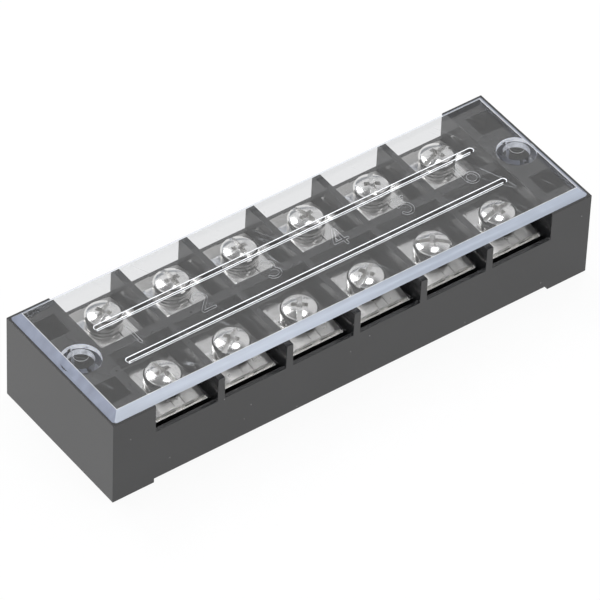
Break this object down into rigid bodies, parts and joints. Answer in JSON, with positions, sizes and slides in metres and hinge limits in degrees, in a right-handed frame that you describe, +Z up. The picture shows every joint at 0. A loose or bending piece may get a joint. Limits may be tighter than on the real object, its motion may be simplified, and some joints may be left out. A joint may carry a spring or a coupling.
{
  "type": "barrier terminal strip",
  "caption": "Two-row barrier terminal strip: black moulded body with walled screw terminals, clamp plates, link bars and a clear plug-on cover.",
  "frame": {"origin": "middle of the underside, in the plane of the two feet", "axes": "+X along the strip towards way 6, +Y from the front row to the back row, +Z up to the cover"},
  "size_m": [0.1174, 0.0368, 0.0225],
  "materials": {
    "black_moulding": "smooth satin moulding",
    "clear_moulding": "clear, polished",
    "plated_brass": "nickel plated",
    "plated_steel": "bright nickel plated"
  },
  "bodies": {
    "housing": {"body": "black_moulding", "link_bar_1": "plated_brass", "link_bar_2": "plated_brass", "link_bar_3": "plated_brass", "link_bar_4": "plated_brass", "link_bar_5": "plated_brass", "link_bar_6": "plated_brass"},
    "cover": {"cover": "clear_moulding"},
    "clamp_front_1": {"clamp_plate_front_1": "plated_steel", "lock_washer_front_1": "plated_steel"},
    "screw_front_1": {"screw_front_1": "plated_steel"},
    "clamp_front_2": {"clamp_plate_front_2": "plated_steel", "lock_washer_front_2": "plated_steel"},
    "screw_front_2": {"screw_front_2": "plated_steel"},
    "clamp_front_3": {"clamp_plate_front_3": "plated_steel", "lock_washer_front_3": "plated_steel"},
    "screw_front_3": {"screw_front_3": "plated_steel"},
    "clamp_front_4": {"clamp_plate_front_4": "plated_steel", "lock_washer_front_4": "plated_steel"},
    "screw_front_4": {"screw_front_4": "plated_steel"},
    "clamp_front_5": {"clamp_plate_front_5": "plated_steel", "lock_washer_front_5": "plated_steel"},
    "screw_front_5": {"screw_front_5": "plated_steel"},
    "clamp_front_6": {"clamp_plate_front_6": "plated_steel", "lock_washer_front_6": "plated_steel"},
    "screw_front_6": {"screw_front_6": "plated_steel"},
    "clamp_back_1": {"clamp_plate_back_1": "plated_steel", "lock_washer_back_1": "plated_steel"},
    "screw_back_1": {"screw_back_1": "plated_steel"},
    "clamp_back_2": {"clamp_plate_back_2": "plated_steel", "lock_washer_back_2": "plated_steel"},
    "screw_back_2": {"screw_back_2": "plated_steel"},
    "clamp_back_3": {"clamp_plate_back_3": "plated_steel", "lock_washer_back_3": "plated_steel"},
    "screw_back_3": {"screw_back_3": "plated_steel"},
    "clamp_back_4": {"clamp_plate_back_4": "plated_steel", "lock_washer_back_4": "plated_steel"},
    "screw_back_4": {"screw_back_4": "plated_steel"},
    "clamp_back_5": {"clamp_plate_back_5": "plated_steel", "lock_washer_back_5": "plated_steel"},
    "screw_back_5": {"screw_back_5": "plated_steel"},
    "clamp_back_6": {"clamp_plate_back_6": "plated_steel", "lock_washer_back_6": "plated_steel"},
    "screw_back_6": {"screw_back_6": "plated_steel"}
  },
  "joints": [
    {"name": "cover_lift", "type": "slide", "parent": "housing", "child": "cover", "axis": [0, 0, 1], "range_m": [0, 0.03]},
    {"name": "clamp_front_1_lift", "type": "slide", "parent": "housing", "child": "clamp_front_1", "axis": [0, 0, 1], "range_m": [0, 0.0014]},
    {"name": "screw_front_1_turn", "type": "hinge", "parent": "clamp_front_1", "child": "screw_front_1", "pos_m": [-0.04125, -0.01015, 0.017], "axis": [0, 0, 1], "range_deg": [0, 720]},
    {"name": "clamp_front_2_lift", "type": "slide", "parent": "housing", "child": "clamp_front_2", "axis": [0, 0, 1], "range_m": [0, 0.0014]},
    {"name": "screw_front_2_turn", "type": "hinge", "parent": "clamp_front_2", "child": "screw_front_2", "pos_m": [-0.02475, -0.01015, 0.017], "axis": [0, 0, 1], "range_deg": [0, 720]},
    {"name": "clamp_front_3_lift", "type": "slide", "parent": "housing", "child": "clamp_front_3", "axis": [0, 0, 1], "range_m": [0, 0.0014]},
    {"name": "screw_front_3_turn", "type": "hinge", "parent": "clamp_front_3", "child": "screw_front_3", "pos_m": [-0.00825, -0.01015, 0.017], "axis": [0, 0, 1], "range_deg": [0, 720]},
    {"name": "clamp_front_4_lift", "type": "slide", "parent": "housing", "child": "clamp_front_4", "axis": [0, 0, 1], "range_m": [0, 0.0014]},
    {"name": "screw_front_4_turn", "type": "hinge", "parent": "clamp_front_4", "child": "screw_front_4", "pos_m": [0.00825, -0.01015, 0.017], "axis": [0, 0, 1], "range_deg": [0, 720]},
    {"name": "clamp_front_5_lift", "type": "slide", "parent": "housing", "child": "clamp_front_5", "axis": [0, 0, 1], "range_m": [0, 0.0014]},
    {"name": "screw_front_5_turn", "type": "hinge", "parent": "clamp_front_5", "child": "screw_front_5", "pos_m": [0.02475, -0.01015, 0.017], "axis": [0, 0, 1], "range_deg": [0, 720]},
    {"name": "clamp_front_6_lift", "type": "slide", "parent": "housing", "child": "clamp_front_6", "axis": [0, 0, 1], "range_m": [0, 0.0014]},
    {"name": "screw_front_6_turn", "type": "hinge", "parent": "clamp_front_6", "child": "screw_front_6", "pos_m": [0.04125, -0.01015, 0.017], "axis": [0, 0, 1], "range_deg": [0, 720]},
    {"name": "clamp_back_1_lift", "type": "slide", "parent": "housing", "child": "clamp_back_1", "axis": [0, 0, 1], "range_m": [0, 0.0014]},
    {"name": "screw_back_1_turn", "type": "hinge", "parent": "clamp_back_1", "child": "screw_back_1", "pos_m": [-0.04125, 0.01015, 0.017], "axis": [0, 0, 1], "range_deg": [0, 720]},
    {"name": "clamp_back_2_lift", "type": "slide", "parent": "housing", "child": "clamp_back_2", "axis": [0, 0, 1], "range_m": [0, 0.0014]},
    {"name": "screw_back_2_turn", "type": "hinge", "parent": "clamp_back_2", "child": "screw_back_2", "pos_m": [-0.02475, 0.01015, 0.017], "axis": [0, 0, 1], "range_deg": [0, 720]},
    {"name": "clamp_back_3_lift", "type": "slide", "parent": "housing", "child": "clamp_back_3", "axis": [0, 0, 1], "range_m": [0, 0.0014]},
    {"name": "screw_back_3_turn", "type": "hinge", "parent": "clamp_back_3", "child": "screw_back_3", "pos_m": [-0.00825, 0.01015, 0.017], "axis": [0, 0, 1], "range_deg": [0, 720]},
    {"name": "clamp_back_4_lift", "type": "slide", "parent": "housing", "child": "clamp_back_4", "axis": [0, 0, 1], "range_m": [0, 0.0014]},
    {"name": "screw_back_4_turn", "type": "hinge", "parent": "clamp_back_4", "child": "screw_back_4", "pos_m": [0.00825, 0.01015, 0.017], "axis": [0, 0, 1], "range_deg": [0, 720]},
    {"name": "clamp_back_5_lift", "type": "slide", "parent": "housing", "child": "clamp_back_5", "axis": [0, 0, 1], "range_m": [0, 0.0014]},
    {"name": "screw_back_5_turn", "type": "hinge", "parent": "clamp_back_5", "child": "screw_back_5", "pos_m": [0.02475, 0.01015, 0.017], "axis": [0, 0, 1], "range_deg": [0, 720]},
    {"name": "clamp_back_6_lift", "type": "slide", "parent": "housing", "child": "clamp_back_6", "axis": [0, 0, 1], "range_m": [0, 0.0014]},
    {"name": "screw_back_6_turn", "type": "hinge", "parent": "clamp_back_6", "child": "screw_back_6", "pos_m": [0.04125, 0.01015, 0.017], "axis": [0, 0, 1], "range_deg": [0, 720]}
  ],
  "couplings": [
    {"joint": "screw_front_1_turn", "follows": "clamp_front_1_lift", "rad_per_m": 8976},
    {"joint": "screw_front_2_turn", "follows": "clamp_front_2_lift", "rad_per_m": 8976},
    {"joint": "screw_front_3_turn", "follows": "clamp_front_3_lift", "rad_per_m": 8976},
    {"joint": "screw_front_4_turn", "follows": "clamp_front_4_lift", "rad_per_m": 8976},
    {"joint": "screw_front_5_turn", "follows": "clamp_front_5_lift", "rad_per_m": 8976},
    {"joint": "screw_front_6_turn", "follows": "clamp_front_6_lift", "rad_per_m": 8976},
    {"joint": "screw_back_1_turn", "follows": "clamp_back_1_lift", "rad_per_m": 8976},
    {"joint": "screw_back_2_turn", "follows": "clamp_back_2_lift", "rad_per_m": 8976},
    {"joint": "screw_back_3_turn", "follows": "clamp_back_3_lift", "rad_per_m": 8976},
    {"joint": "screw_back_4_turn", "follows": "clamp_back_4_lift", "rad_per_m": 8976},
    {"joint": "screw_back_5_turn", "follows": "clamp_back_5_lift", "rad_per_m": 8976},
    {"joint": "screw_back_6_turn", "follows": "clamp_back_6_lift", "rad_per_m": 8976}
  ]
}
